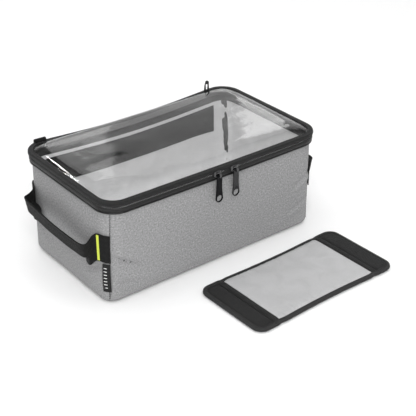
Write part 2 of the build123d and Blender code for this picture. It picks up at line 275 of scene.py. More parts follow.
def walk(points, pitch, start=0.0):
    """Places and directions every pitch along a line of points."""
    points = np.asarray(points, float)
    steps = np.linalg.norm(np.diff(points, axis=0), axis=1)
    total = np.concatenate([[0], np.cumsum(steps)])
    stations = np.arange(start + pitch / 2, total[-1], pitch)
    places, ahead, behind = [
        xyz(*(np.interp(stations + shift, total, points[:, k]) for k in range(3))) for shift in (0, 0.5, -0.5)
    ]
    return places, ahead - behind


# Materials
class Shader:
    """A material's node tree, built a node at a time."""

    def __init__(self, name, color=(0.5, 0.5, 0.5), roughness=0.6, **sockets):
        self.material = bpy.data.materials.new(name)
        self.material.use_nodes = True
        self.tree = self.material.node_tree
        self.bsdf = self.tree.nodes["Principled BSDF"]
        self.output = self.tree.nodes["Material Output"]
        self.bsdf.inputs["Base Color"].default_value = (*color, 1)
        self.bsdf.inputs["Roughness"].default_value = roughness
        for socket, value in sockets.items():
            self.bsdf.inputs[socket.replace("_", " ")].default_value = value
        self.material.diffuse_color = (*color, 1)

    def node(self, kind, *links, **settings):
        """Add a node, set its properties, and link or set its inputs in order."""
        made = self.tree.nodes.new("ShaderNode" + kind)
        for key, value in settings.items():
            setattr(made, key, value)
        for socket, value in zip(made.inputs, links):
            self.feed(socket, value)
        return made

    def feed(self, socket, value):
        """Link an output, or set a plain value."""
        if isinstance(value, bpy.types.NodeSocket):
            self.tree.links.new(value, socket)
        elif isinstance(value, bpy.types.Node):
            self.tree.links.new(value.outputs[0], socket)
        elif value is not None:
            socket.default_value = value

    def surface(self, **sockets):
        """Feed the shader's own inputs, and give the material."""
        for socket, value in sockets.items():
            self.feed(self.bsdf.inputs[socket.replace("_", " ")], value)
        return self.material

    def math(self, operation, a, b=None, c=None):
        """One Math node."""
        return self.node("Math", a, b, c, operation=operation).outputs[0]

    def noise_at(self, vector, scale, detail=2.0, roughness=0.5, distortion=0.0):
        """Noise value, with scale in features per unit of the vector."""
        made = self.node("TexNoise")
        self.feed(made.inputs["Vector"], vector)
        made.inputs["Scale"].default_value = scale
        made.inputs["Detail"].default_value = detail
        made.inputs["Roughness"].default_value = roughness
        made.inputs["Distortion"].default_value = distortion
        return made.outputs["Fac"]

    def stretched(self, vector, scale):
        """A vector scaled on each axis."""
        made = self.node("Mapping")
        self.feed(made.inputs["Vector"], vector)
        made.inputs["Scale"].default_value = scale
        return made.outputs[0]

    def cloth_axes(self):
        """The weave's two directions, in millimetres."""
        coordinates = self.node("UVMap", uv_map="cloth").outputs[0]
        vector = self.stretched(coordinates, (1000, 1000, 1000))
        parts = self.node("SeparateXYZ", vector)
        return vector, parts.outputs[0], parts.outputs[1]

    def wave(self, value, period, phase=0.0):
        """A sine of a distance, from 0 to 1."""
        turned = self.math("MULTIPLY_ADD", value, 2 * pi / period, phase)
        return self.math("MULTIPLY_ADD", self.math("SINE", turned), 0.5, 0.5)

    def ramp(self, value, stops):
        """Colours along a value."""
        made = self.node("ValToRGB", value)
        band = made.color_ramp
        while len(band.elements) < len(stops):
            band.elements.new(0.5)
        for element, (place, color) in zip(band.elements, stops):
            element.position = place
            element.color = (*color, 1) if len(color) == 3 else color
        return made.outputs[0]

    def greys(self, value, *stops):
        """Greys along a value."""
        return self.ramp(value, [(place, grey(shade)) for place, shade in stops])

    def spread(self, value, low, high, start=0.0, stop=1.0):
        """Map a value to another range."""
        return self.node("MapRange", value, start, stop, low, high).outputs[0]

    def bump(self, height, distance, strength=1.0, before=None):
        """A bump from a height, with distance in metres."""
        made = self.node("Bump")
        made.inputs["Strength"].default_value = strength
        made.inputs["Distance"].default_value = distance
        self.feed(made.inputs["Height"], height)
        if before is not None:
            self.feed(made.inputs["Normal"], before)
        return made.outputs[0]


def grey(value):
    return (value, value, value * 1.01)


def melange_fabric():
    """Grey melange polyester: a plain weave of light and dark flecked yarns."""
    s = Shader(
        "grey_melange", grey(0.28), 0.88, Sheen_Weight=0.06, Sheen_Roughness=0.5, Specular_IOR_Level=0.2
    )
    vector, u, v = s.cloth_axes()
    warp = s.noise_at(s.stretched(vector, (2.0, 0.22, 1)), 1.0, 3.0, 0.6)
    weft = s.noise_at(s.stretched(vector, (0.22, 2.0, 1)), 1.0, 3.0, 0.6)
    over = s.math("GREATER_THAN", s.math("MULTIPLY", s.math("SINE", s.math("MULTIPLY", u, 7.4)),
                                         s.math("SINE", s.math("MULTIPLY", v, 7.4))), 0.0)
    yarn = s.node("Mix", over, None, warp, weft, data_type="FLOAT")
    patches = s.noise_at(vector, 0.42, 2.0, 0.6)
    value = s.math("MULTIPLY_ADD", patches, 0.75, s.math("MULTIPLY", yarn.outputs[0], 0.75))
    color = s.greys(value, (0.5, 0.14), (0.66, 0.26), (0.84, 0.33), (1.0, 0.52))
    s.feed(s.bsdf.inputs["Base Color"], color)
    threads = s.math("MULTIPLY", s.wave(u, 0.85), s.wave(v, 0.85, 1.57))
    height = s.math("MULTIPLY_ADD", value, 0.6, threads)
    return s.surface(
        Normal=s.bump(height, 0.00022, 0.75),
        Roughness=s.spread(yarn.outputs[0], 0.8, 0.95),
    )


def webbing(name="black_webbing", color=0.006, period=1.7, light=2.2):
    """Woven strap: diagonal ribs that change side along the strap's middle, with flat selvedges."""
    s = Shader(name, grey(color), 0.72, Sheen_Weight=0.02, Sheen_Roughness=0.4, Specular_IOR_Level=0.2)
    vector, u, v = s.cloth_axes()
    zigzag = s.math("PINGPONG", v, 4.2)
    ribs = s.wave(s.math("ADD", u, zigzag), period)
    cross = s.wave(v, 0.9)
    fine = s.noise_at(vector, 1.4, 3.0, 0.6)
    height = s.math("MULTIPLY_ADD", cross, 0.35, ribs)
    shade = s.math("MULTIPLY_ADD", fine, 0.6, s.math("MULTIPLY", ribs, 0.5))
    return s.surface(
        Base_Color=s.greys(shade, (0.2, color * 0.55), (0.55, color), (0.95, color * light)),
        Normal=s.bump(height, 0.0004, 0.8),
        Roughness=s.spread(fine, 0.6, 0.85),
    )


def ribbed_tape(name, color, period, along=False, roughness=0.6, depth=0.00025):
    """Grosgrain or zip tape: fine even ribs across the tape, or along it, and a worn sheen."""
    s = Shader(name, grey(color), roughness, Sheen_Weight=0.03, Sheen_Roughness=0.35, Specular_IOR_Level=0.32)
    vector, u, v = s.cloth_axes()
    ribs = s.wave(v if along else u, period)
    cross = s.wave(u if along else v, period * 0.7)
    fine = s.noise_at(vector, 0.9, 3.0, 0.65)
    shade = s.math("MULTIPLY_ADD", fine, 0.8, s.math("MULTIPLY", ribs, 0.35))
    return s.surface(
        Base_Color=s.greys(shade, (0.25, color * 0.6), (0.6, color), (1.0, color * 1.7)),
        Normal=s.bump(s.math("MULTIPLY_ADD", cross, 0.3, ribs), depth, 0.7),
        Roughness=s.spread(fine, roughness - 0.12, roughness + 0.14),
    )


def coated_cloth(name, color, gloss):
    """Thin cloth with a coated back: a faint weave, soft handling marks and a low sheen."""
    s = Shader(name, grey(color), gloss, Specular_IOR_Level=0.45, Sheen_Weight=0.08)
    vector, u, v = s.cloth_axes()
    weave = s.math("MULTIPLY", s.wave(u, 0.6), s.wave(v, 0.6))
    broad = s.noise_at(vector, 0.035, 3.0, 0.55, 0.6)
    fine = s.noise_at(vector, 0.5, 3.0, 0.6)
    shade = s.math("MULTIPLY_ADD", broad, 0.7, s.math("MULTIPLY", fine, 0.3))
    s.feed(s.bsdf.inputs["Base Color"],
           s.greys(shade, (0.3, color * 0.88), (0.55, color), (0.75, color * 1.07)))
    soft = s.bump(broad, 0.004, 0.35)
    return s.surface(
        Normal=s.bump(weave, 0.00008, 0.5, soft),
        Roughness=s.spread(broad, gloss - 0.08, gloss + 0.12),
    )


def loop_pile():
    """Loop fastener: a matt felted pile of tiny loops, brushed unevenly."""
    s = Shader(
        "loop_pile", grey(0.016), 0.95, Sheen_Weight=0.03, Sheen_Roughness=0.6, Specular_IOR_Level=0.04
    )
    vector, u, v = s.cloth_axes()
    cells = s.node("TexVoronoi", feature="F1")
    s.feed(cells.inputs["Vector"], vector)
    cells.inputs["Scale"].default_value = 1.1
    brushed = s.noise_at(s.stretched(vector, (0.06, 0.2, 1)), 1.0, 3.0, 0.6)
    shade = s.math("MULTIPLY_ADD", brushed, 0.8, s.math("MULTIPLY", cells.outputs["Distance"], 0.35))
    return s.surface(
        Base_Color=s.greys(shade, (0.3, 0.004), (0.55, 0.008), (0.85, 0.02)),
        Normal=s.bump(cells.outputs["Distance"], 0.0006, 0.9),
    )


def hook_plastic():
    """Hook fastener: rows of small stiff hooks on a dark base."""
    s = Shader("hook_plastic", grey(0.02), 0.5, Specular_IOR_Level=0.45)
    vector, u, v = s.cloth_axes()
    rows = s.wave(u, 1.5)
    hooks = s.wave(v, 1.3)
    clumps = s.noise_at(vector, 0.35, 3.0, 0.6)
    shade = s.math("MULTIPLY", rows, s.math("MULTIPLY_ADD", hooks, 0.5, 0.5))
    mixed = s.math("MULTIPLY_ADD", clumps, 0.45, s.math("MULTIPLY", shade, 0.6))
    return s.surface(
        Base_Color=s.greys(mixed, (0.15, 0.004), (0.45, 0.011), (0.85, 0.036)),
        Normal=s.bump(shade, 0.0009, 1.0),
        Roughness=s.spread(clumps, 0.38, 0.65),
    )


def clear_film():
    """Clear flexible film: what lies behind shows through, with a soft veil and sharp mirror glints."""
    s = Shader("clear_film", (0.94, 0.94, 0.94), 0.07, Metallic=1.0)
    place = s.node("TexCoord").outputs["Object"]
    ripples = s.noise_at(place, 26.0, 3.0, 0.5, 0.8)
    fine = s.noise_at(place, 160.0, 2.0, 0.5)
    s.feed(s.bsdf.inputs["Normal"], s.bump(fine, 0.0001, 0.1, s.bump(ripples, 0.002, 0.15)))
    s.feed(s.bsdf.inputs["Roughness"], s.spread(ripples, 0.04, 0.13))
    clear = s.node("BsdfTransparent", (0.972, 0.972, 0.97, 1))
    facing = s.math("POWER", s.node("LayerWeight", 0.5).outputs["Facing"], 5.0)
    veil = s.math("MULTIPLY_ADD", facing, 0.95, 0.04)
    mix = s.node("MixShader", veil, clear, s.bsdf)
    s.tree.links.new(mix.outputs[0], s.output.inputs["Surface"])
    return s.material


def gloss_paint(name, coat, specular):
    """Gloss black paint on die-cast zip parts, scuffed and a little pitted at the edges."""
    s = Shader(name, (0.007, 0.007, 0.008), 0.16, Coat_Weight=coat, Coat_Roughness=0.05,
               Specular_IOR_Level=specular)
    place = s.node("TexCoord").outputs["Object"]
    cast = s.noise_at(place, 420.0, 3.0, 0.6)
    scuff = s.noise_at(s.stretched(place, (300, 300, 60)), 1.0, 4.0, 0.65)
    edge = s.node("NewGeometry").outputs["Pointiness"]
    wear = s.math("MULTIPLY", s.spread(edge, 0.0, 1.0, 0.54, 0.62), s.spread(scuff, 0.0, 1.0, 0.45, 0.7))
    return s.surface(
        Base_Color=s.ramp(wear, [(0.0, (0.006, 0.006, 0.007)), (1.0, (0.06, 0.06, 0.062))]),
        Roughness=s.spread(scuff, 0.1, 0.3, 0.3, 0.8),
        Normal=s.bump(cast, 0.0002, 0.12),
    )


def nylon(name, color):
    """Monofilament nylon of zip coils and sewing thread."""
    s = Shader(name, grey(color), 0.38, Specular_IOR_Level=0.5)
    place = s.node("TexCoord").outputs["Object"]
    fine = s.noise_at(place, 900.0, 2.0, 0.5)
    return s.surface(
        Base_Color=s.greys(fine, (0.3, color * 0.7), (0.7, color * 1.4)),
        Roughness=s.spread(fine, 0.3, 0.5),
        Normal=s.bump(fine, 0.0001, 0.3),
    )


def lime_tape():
    """Bright woven tape."""
    s = Shader("lime_tape", (0.7, 0.82, 0.06), 0.6, Sheen_Weight=0.2)
    vector, u, v = s.cloth_axes()
    ribs = s.wave(v, 0.7)
    fine = s.noise_at(vector, 1.5, 2.0, 0.5)
    shade = s.math("MULTIPLY_ADD", fine, 0.5, s.math("MULTIPLY", ribs, 0.5))
    return s.surface(
        Base_Color=s.ramp(
            shade, [(0.2, (0.5, 0.6, 0.03)), (0.6, (0.72, 0.83, 0.06)), (1.0, (0.85, 0.92, 0.2))]
        ),
        Normal=s.bump(ribs, 0.0002, 0.6),
    )


def pale_floor():
    """Plain matt floor with the faintest paper grain."""
    s = Shader("studio_floor", (0.93, 0.93, 0.93), 0.9, Specular_IOR_Level=0.1)
    grain = s.noise_at(s.node("TexCoord").outputs["Object"], 60.0, 2.0)
    return s.surface(
        Base_Color=s.ramp(grain, [(0.0, (0.925, 0.925, 0.925)), (1.0, (0.94, 0.94, 0.94))]),
    )


GREY = melange_fabric()
WEBBING = webbing()
BINDING = ribbed_tape("black_binding", 0.008, 1.1, roughness=0.62)
ZIP_TAPE = ribbed_tape("zip_tape", 0.009, 1.5, along=True, roughness=0.42, depth=0.0002)
LINING = coated_cloth("grey_lining", 0.76, 0.4)
FACE = coated_cloth("divider_face", 0.45, 0.46)
PILE = loop_pile()
HOOKS = hook_plastic()
FILM = clear_film()
PAINT = gloss_paint("gloss_paint", 1.0, 0.5)
COIL = nylon("zip_coil", 0.03)
THREAD = nylon("dark_thread", 0.012)
LIME = lime_tape()
FELT = coated_cloth("dark_felt", 0.02, 0.8)
TAG = ribbed_tape("tag_weave", 0.008, 0.7, along=True, roughness=0.7, depth=0.0001)
TAG_MARK = nylon("tag_mark", 0.75)


# The bag's plan, at any height
def half_plan(z):
    """Half length, half width and corner radius of the bag at a height."""
    share = np.clip((np.asarray(z, float) - TRAY_HIGH) / (WALL_TOP - TRAY_HIGH), 0, 1)
    half_x = BASE_HALF[0] + (TOP_HALF[0] - BASE_HALF[0]) * share
    half_y = BASE_HALF[1] + (TOP_HALF[1] - BASE_HALF[1]) * share
    return half_x, half_y, BASE_RADIUS + (TOP_RADIUS - BASE_RADIUS) * (0.4 + 0.6 * share)


SIDES = {"front": (0, -1), "back": (0, 1), "left": (-1, 0), "right": (1, 0)}
CORNERS = ((-1, -1), (-1, 1), (1, -1), (1, 1))


def side_rows(side, rows, arc=9, straight=64, half_span=None):
    """Points, outward directions and distances along one side, for rows of (height, inset).

    A side runs from one corner seam to the other, or half_span either way from its middle.
    """
    out_x, out_y = SIDES[side]
    points, outs, spans = [], [], []
    for z, inset in rows:
        half_x, half_y, radius = half_plan(z)
        half_out, half_along = (half_x, half_y) if out_x else (half_y, half_x)
        centre_out, centre_along = half_out - radius, half_along - radius
        near = max(radius - inset, 0.5)
        if half_span is None:
            turn = np.radians(np.linspace(-45, 0, arc, endpoint=False))
            left = [(-centre_along + near * sin(a), centre_out + near * cos(a), a) for a in turn]
            middle = [(a, centre_out + near, 0.0) for a in np.linspace(-centre_along, centre_along, straight)]
            right = [(-a, o, -t) for a, o, t in left[::-1]]
            line = left + middle + right
        else:
            line = [(a, centre_out + near, 0.0) for a in np.linspace(-half_span, half_span, straight)]
        for target, source in ((points, [(a, o) for a, o, t in line]),
                               (outs, [(sin(t), cos(t)) for a, o, t in line])):
            target.append([(o * out_x - a * out_y, o * out_y + a * out_x, z) for a, o in source])
        spans.append([a for a, o, t in line])
    outs = np.array(outs)
    outs[..., 2] = 0
    return np.array(points), outs, np.array(spans)


# Pinched folds on each wall: start, end, depth and width, in distance along the wall and height
CREASES = {
    "front": (
        ((-176, 74), (-134, 50), 3.6, 3.4),
        ((-172, 34), (-124, 20), 2.2, 3.2),
        ((178, 92), (138, 74), 2.6, 3.6),
        ((176, 48), (132, 34), 2.2, 3.4),
        ((-60, 12), (40, 9), 0.9, 3.2),
    ),
    "left": (
        ((94, 60), (46, 34), 3.0, 3.4),
        ((-92, 54), (-40, 30), 2.2, 3.2),
    ),
    "right": (
        ((-90, 56), (-46, 34), 1.6, 3.4),
    ),
}


def wall_relief(side, points, span):
    """How far the padded wall stands out from its flat plan: soft bulge, lazy waves and pinched folds."""
    z = points[..., 2]
    long_side = side in ("front", "back")
    half = 150.0 if long_side else 72.0
    calm = 1 - smooth(half * 0.8, half * 1.18, np.abs(span))
    upright = smooth(2, 26, z) * (1 - smooth(WALL_TOP - 26, WALL_TOP - 4, z))
    seed = {"front": 1.3, "back": 5.1, "left": 8.7, "right": 12.9}[side]
    bulge = (3.4 if long_side else 1.6) * calm * upright
    lazy = 1.5 * cloud(points * (0.7, 0.7, 1.0), 58, seed) + 0.5 * cloud(points, 21, seed + 3)
    relief = bulge + lazy * calm * smooth(0, 12, z) * (1 - smooth(WALL_TOP - 10, WALL_TOP, z))
    seam = 1.3 * (hump(np.abs(span).max(), 2.4, np.abs(span)))
    relief = relief - seam * smooth(2, 10, z)
    if side == "back":
        upper = smooth(95, 122, z)
        relief = relief * (1 - 0.85 * upper) - 1.3 * upper * (1 - smooth(141, WALL_TOP, z))
    for start, end, depth, width in CREASES.get(side, ()):
        relief = relief + crease(span, z, start, end, depth, width)
    if side == "left":
        relief = relief - 1.2 * hump(0, 46, span) * hump(98, 18, z)
    return relief


def bent_wall(side, rows, extra=None, **shape):
    """Points of one layer of a wall, moved with the wall's own relief and sag."""
    points, outs, span = side_rows(side, rows, **shape)
    relief = wall_relief(side, points, span)
    if extra is not None:
        relief = relief - extra(points, span)
    return settle(points + outs * relief[..., None])


def up_rows(low, high, inset, step=3.2):
    """Rows of (height, inset) up a wall."""
    count = max(int(round((high - low) / step)), 2)
    return [(z, inset) for z in np.linspace(low, high, count)]


FOOT = 9.0
FOOT_ROWS = [(0.35 + 0.12 * k, FOOT + 9 - 3 * k) for k in range(3)]
FOOT_ROWS += [
    (FOOT - (FOOT - 0.7) * cos(a), FOOT - FOOT * sin(a)) for a in np.radians(np.arange(8, 90, 10))
]


def corner_fold(points, span):
    """Lining is cut a little large, so it lies in soft folds and gathers at its corners."""
    z = points[..., 2]
    free = smooth(8, 30, z) * (1 - smooth(128, 142, z))
    folds = 2.6 * (cloud(points * (1, 1, 0.45), 30, 3.0) + 0.5) * free
    gathers = 1.5 * hump(np.abs(span).max() - 7, 6, np.abs(span)) * (1 + cloud(points, 9, 7.0)) * free
    slack = 2.2 * hump(20, 14, z) * (1 + cloud(points * (1, 1, 0.3), 40, 9.0))
    return np.clip(folds + gathers + slack, 0, 5)


def lining_relief(side):
    """Lining folds, held flat under a loop strip on the long sides."""
    if side in ("left", "right"):
        return corner_fold

    def held(points, span):
        z = points[..., 2]
        under = smooth(STRIP_LOW - 9, STRIP_LOW + 2, z) * (1 - smooth(155, 163, np.abs(span)))
        return corner_fold(points, span) * (1 - 0.78 * under)
    return held


def wall_pieces():
    """Fabric, foam and lining of the four walls, which move together."""
    for side in SIDES:
        count = 150 if side in ("front", "back") else 84
        skin = bent_wall(side, FOOT_ROWS + up_rows(FOOT + 1, WALL_TOP, 0, 2.4), straight=count)
        fabric = slab(f"{side}_fabric", skin, 0.8, GREY)
        dress(fabric, "bag", "grey_fabric", f"outer_{side}")
        foam = slab(f"{side}_foam", bent_wall(side, up_rows(TRAY_HIGH + 3, WALL_TOP - 1, 1.8, 5), arc=5,
                                              straight=60), 1.7, FELT)
        dress(foam, "bag", "foam", f"foam_{side}")
        rows = up_rows(4.4, WALL_TOP - 0.5, 4.1, 2.8)
        inner = bent_wall(side, rows, lining_relief(side), arc=12, straight=96)
        lining = slab(f"{side}_lining", inner[:, ::-1], 0.4, LINING)
        dress(lining, "bag", "lining", f"lining_{side}")
    for side in ("front", "back"):
        rows = up_rows(STRIP_LOW, STRIP_HIGH, 4.8, 2.3)

        def over(points, span):
            return 0.22 * corner_fold(points, span) + 0.9 + 0.25 * cloud(points, 12, 4.0)
        face = bent_wall(side, rows, over, half_span=156, straight=130)
        strip = slab(f"{side}_loop_strip", face[:, ::-1], 1.1, PILE)
        dress(strip, "bag", "loop_fastener", f"loop_strip_{side}")


def dress(obj, body, slot, *nodes):
    """Let a piece ride on a body and stand for its CAD nodes, which it hides. The slot is not used."""
    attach(obj, body)
    if nodes:
        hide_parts(*nodes)


def rounded_floor(half_x, half_y, radius, count_x=90, count_y=54):
    """A rectangular grid whose corners are pulled in to a radius."""
    x, y = np.meshgrid(np.linspace(-half_x, half_x, count_x), np.linspace(-half_y, half_y, count_y))
    over_x, over_y = np.abs(x) - (half_x - radius), np.abs(y) - (half_y - radius)
    both = (over_x > 0) & (over_y > 0)
    reach = np.hypot(over_x, over_y)
    pull = np.where(both, np.maximum(over_x, over_y) / np.maximum(reach, 1e-6), 1.0)
    x = np.where(both, np.sign(x) * (half_x - radius + over_x * pull), x)
    y = np.where(both, np.sign(y) * (half_y - radius + over_y * pull), y)
    return x, y


def floor_pieces():
    """Base fabric, and the floor's lining over its board."""
    half_x, half_y = half_plan(TRAY_HIGH)[:2]
    x, y = rounded_floor(half_x - FOOT - 5, half_y - FOOT - 5, 8)
    points = xyz(x, y, np.zeros_like(x))
    points[..., 2] = 0.5 + 0.35 * cloud(points, 45, 2.0)
    base = slab("base_fabric", points[:, ::-1], 0.7, GREY)
    dress(base, "bag", "grey_fabric", "outer_base")
    x, y = rounded_floor(half_x - 3.6, half_y - 3.6, 16, 130, 78)
    points = xyz(x, y, np.full_like(x, 4.2))
    edge = smooth(0, 26, np.minimum(half_x - 4 - np.abs(x), half_y - 4 - np.abs(y)))
    waves = 3.0 * (cloud(points * (0.6, 1.2, 1), 46, 6.0) + 0.5) + 1.0 * (cloud(points, 19, 8.0) + 0.4)
    folds = (((-150, -60), (-40, -20), 2.6), ((30, 60), (150, -10), 2.2), ((-90, 70), (-20, 30), 1.8))
    for start, end, depth in folds:
        waves = waves - crease(x, y, start, end, depth, 5.0)
    points[..., 2] += np.maximum(waves, 0) * edge
    floor = slab("floor_lining", points, 0.4, LINING)
    dress(floor, "bag", "lining", "lining_base")


def outline_ring(z, reach, count=260, gap=None):
    """The bag's outline at a height, moved out by reach. A gap leaves the back open between +/- gap."""
    half_x, half_y, radius = half_plan(min(z, WALL_TOP))
    if z >= WALL_TOP - 8:
        radius = TOP_RADIUS
    centre_x, centre_y, r = half_x - radius, half_y - radius, radius + reach
    quarter = r * pi / 2
    half_way = [quarter, 2 * centre_y, quarter]
    lengths = [centre_x] + half_way + [2 * centre_x] + half_way + [centre_x]
    stops = np.concatenate([[0], np.cumsum(lengths)])
    ends = (0.0, stops[-1]) if gap is None else (gap, stops[-1] - gap)
    line = []
    for d in np.linspace(*ends, count, endpoint=gap is not None):
        k = min(int(np.searchsorted(stops, d, side="right")) - 1, 8)
        t = d - stops[k]
        a = t / r
        line.append((
            (t, centre_y + r), (centre_x + r * sin(a), centre_y + r * cos(a)),
            (centre_x + r, centre_y - t), (centre_x + r * cos(a), -centre_y - r * sin(a)),
            (centre_x - t, -centre_y - r), (-centre_x - r * sin(a), -centre_y - r * cos(a)),
            (-centre_x - r, -centre_y + t), (-centre_x - r * cos(a), centre_y + r * sin(a)),
            (-centre_x + t, centre_y + r))[k])
    return np.array([(x, y, z) for x, y in line])


def rounded_profile(low_reach, low_z, high_reach, high_z, radius, count=5):
    """A rounded rectangle in reach and height."""
    centres = [(high_reach - radius, high_z - radius, 0), (low_reach + radius, high_z - radius, 90),
               (low_reach + radius, low_z + radius, 180), (high_reach - radius, low_z + radius, 270)]
    return [(r + radius * cos(radians(a + s)), z + radius * sin(radians(a + s)))
            for r, z, a in centres for s in np.linspace(0, 90, count)]


def rim_sweep(name, profile, material, gap=None, count=320, wobble=0.0, seed=0.0):
    """Sweep a profile of (reach, height) round the rim."""
    grid = np.array([outline_ring(z, reach, count, gap) for reach, z in profile])
    if wobble:
        middle = grid.mean(axis=0)
        grid = grid + wobble * np.stack([cloud(middle, 24, seed + k) for k in (0, 5, 9)], axis=1)[None]
    return tube(name, settle(grid), material, closed_u=gap is None)


def tape_profile(low, high):
    """A zip tape's section: a thin band that swells outwards between its edges."""
    heights = np.linspace(low, high, 9)
    swell = [3.35 + 0.95 * sin(pi * k / 8) ** 0.6 for k in range(9)]
    return [(r, z) for r, z in zip(swell, heights)] + [(2.75, high), (2.75, low)]


def rim_stitches(name, reach, z, gap):
    """A row of stitches round the rim."""
    places, directions = walk(settle(outline_ring(z, reach, 900, gap)), 3.4)
    return beads(name, places, directions, 2.5, 0.34, THREAD)


TOOTH_PITCH = 2.5


def teeth(name, z, start):
    """Zip teeth: loops of coil that stand across the tape."""
    path = settle(outline_ring(z, 2.4, 900, ZIP_END))
    places, directions = walk(path, TOOTH_PITCH, start)
    lean = unit(np.cross(directions, (0, 0, 1)))
    return beads(name, places, lean + (0, 0, 0.25), 3.6, 0.72, COIL)


# The lid's binding, folded over its edge: distance out from the wall's top outline, and height
BINDING_SECTION = [
    (4.05, 156.6), (4.8, 156.5), (5.1, 157.0), (5.1, 159.6), (4.9, 161.0), (4.3, 161.9), (3.2, 162.2),
    (0.8, 162.1), (-1.4, 162.2), (-3.0, 162.1), (-3.6, 161.6), (-3.4, 161.0), (0.0, 160.9), (3.4, 160.8),
    (4.1, 160.2),
]


def rim_pieces():
    """Piping, ledge, zip tapes, coils, bindings, hinge and stitching round the mouth."""
    bead = rounded_profile(0.3, PIPING_LOW, 3.9, PIPING_HIGH, 1.45)
    piping = rim_sweep("piping_cord", bead, PIPING, wobble=0.22)
    dress(piping, "bag", "black_binding", "rim_piping")
    profile = rounded_profile(-5.5, WALL_TOP - 0.05, 3.6, LEDGE_HIGH - 0.1, 0.5)
    grid = np.array([outline_ring(z, reach, 320) for reach, z in profile])
    behind = (np.abs(grid[..., 0]) < ZIP_END + 1) & (grid[..., 1] > 0)
    grid[..., 1] = np.where(behind, np.minimum(grid[..., 1], TOP_HALF[1] + 2.7), grid[..., 1])
    dress(tube("ledge_tape", settle(grid), BINDING), "bag", "black_binding", "rim_ledge")
    tapes = (("lower", "bag", LEDGE_HIGH - 0.9, LOWER_TAPE_HIGH + 0.3, 0.0),
             ("upper", "lid", UPPER_TAPE_LOW - 0.1, LID_HIGH - 1.1, 4.0))
    for name, body, low, high, seed in tapes:
        band = tape_profile(low, high)
        tape = rim_sweep(f"{name}_zip_tape", band, ZIP_TAPE, ZIP_END, wobble=0.2, seed=seed)
        dress(tape, body, "zip_tape", f"zip_tape_{name}")
    coils = (("lower", "bag", 149.0, 152.2, 153.6, 0.0),
             ("upper", "lid", 155.9, 159.0, 154.7, TOOTH_PITCH / 2))
    for name, body, low, high, tooth, start in coils:
        cord = rim_sweep(f"{name}_coil_cord", rounded_profile(0.5, low, 2.7, high, 0.8), COIL, ZIP_END)
        coil = join(f"{name}_coil", [cord, teeth(f"{name}_teeth", tooth, start)])
        dress(coil, body, "zip_coil", f"zip_coil_{name}")
    binding = rim_sweep("lid_edge_binding", BINDING_SECTION, BINDING, wobble=0.25, seed=2.0)
    dress(binding, "lid", "black_binding", "lid_binding")
    for name, reach, z, body, gap in (("tape_stitches_lower", 3.95, 149.4, "bag", ZIP_END),
                                      ("ledge_stitches", -4.6, 148.1, "bag", None),
                                      ("binding_stitches_outer", 5.0, 158.1, "lid", None),
                                      ("binding_stitches_top", -1.9, 162.15, "lid", None)):
        dress(rim_stitches(name, reach, z, gap), body, "black_binding")
    rows = []
    for z in np.linspace(LEDGE_HIGH - 0.6, LID_HIGH - 1.2, 16):
        x = np.linspace(ZIP_END - 1.2, -ZIP_END + 1.2, 150)
        line = xyz(x, np.full_like(x, TOP_HALF[1] + 3.7), np.full_like(x, z))
        line[:, 1] += 0.5 * cloud(line, 14, 3.0) * sin(pi * (z - LEDGE_HIGH + 0.6) / 12)
        rows.append(line)
    hinge = slab("hinge_fabric", settle(np.array(rows)), 0.9, GREY)
    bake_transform(hinge)
    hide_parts("hinge_band")


def trim_pieces():
    """Bindings over the inner seams, and the facing under the rim."""
    parts = []
    for sign_x, sign_y in CORNERS:
        rows = []
        for angle in np.linspace(0, 2 * pi, 12, endpoint=False):
            line = []
            for z in np.linspace(9, 142, 60):
                half_x, half_y, radius = half_plan(z)
                reach = (radius - 6.6) * sqrt(0.5)
                wave = 0.7 * noise.noise(Vector((z / 16, sign_x, sign_y * 3.0)))
                across, depth = 4.6 * cos(angle), 0.9 * sin(angle) + wave
                line.append((sign_x * (half_x - radius + reach + (depth - across) * sqrt(0.5)),
                             sign_y * (half_y - radius + reach + (depth + across) * sqrt(0.5)), z))
            rows.append(line)
        parts.append(tube("corner", settle(np.array(rows)), BINDING, closed_u=False))
    dress(join("corner_seam_bindings", parts), "bag", "black_binding", "corner_bindings")
    floor_profile = rounded_profile(-6.9, 4.6, -4.4, 10.4, 0.7)
    floor_seam = rim_sweep("floor_seam_binding", floor_profile, LINING, wobble=0.3)
    dress(floor_seam, "bag", "lining", "base_seam_binding")
    facing_profile = rounded_profile(-5.9, 141.2, -4.3, WALL_TOP, 0.7)
    facing = rim_sweep("mouth_facing", facing_profile, BINDING, wobble=0.2)
    dress(facing, "bag", "black_binding", "facing_band")


def seam_pieces():
    """Dark stitching down the four outer corner seams."""
    parts = []
    for sign_x, sign_y in CORNERS:
        line = []
        for z in np.linspace(7, WALL_TOP - 3, 80):
            half_x, half_y, radius = half_plan(z)
            reach = (radius - 0.55) * sqrt(0.5)
            line.append((sign_x * (half_x - radius + reach), sign_y * (half_y - radius + reach), z))
        places, directions = walk(settle(line), 3.0)
        ups = [(sign_x, sign_y, 0)] * len(places)
        parts.append(beads("seam", places, directions, 2.9, 0.8, THREAD, ups))
    dress(join("corner_seam_stitches", parts), "bag", "black_binding")


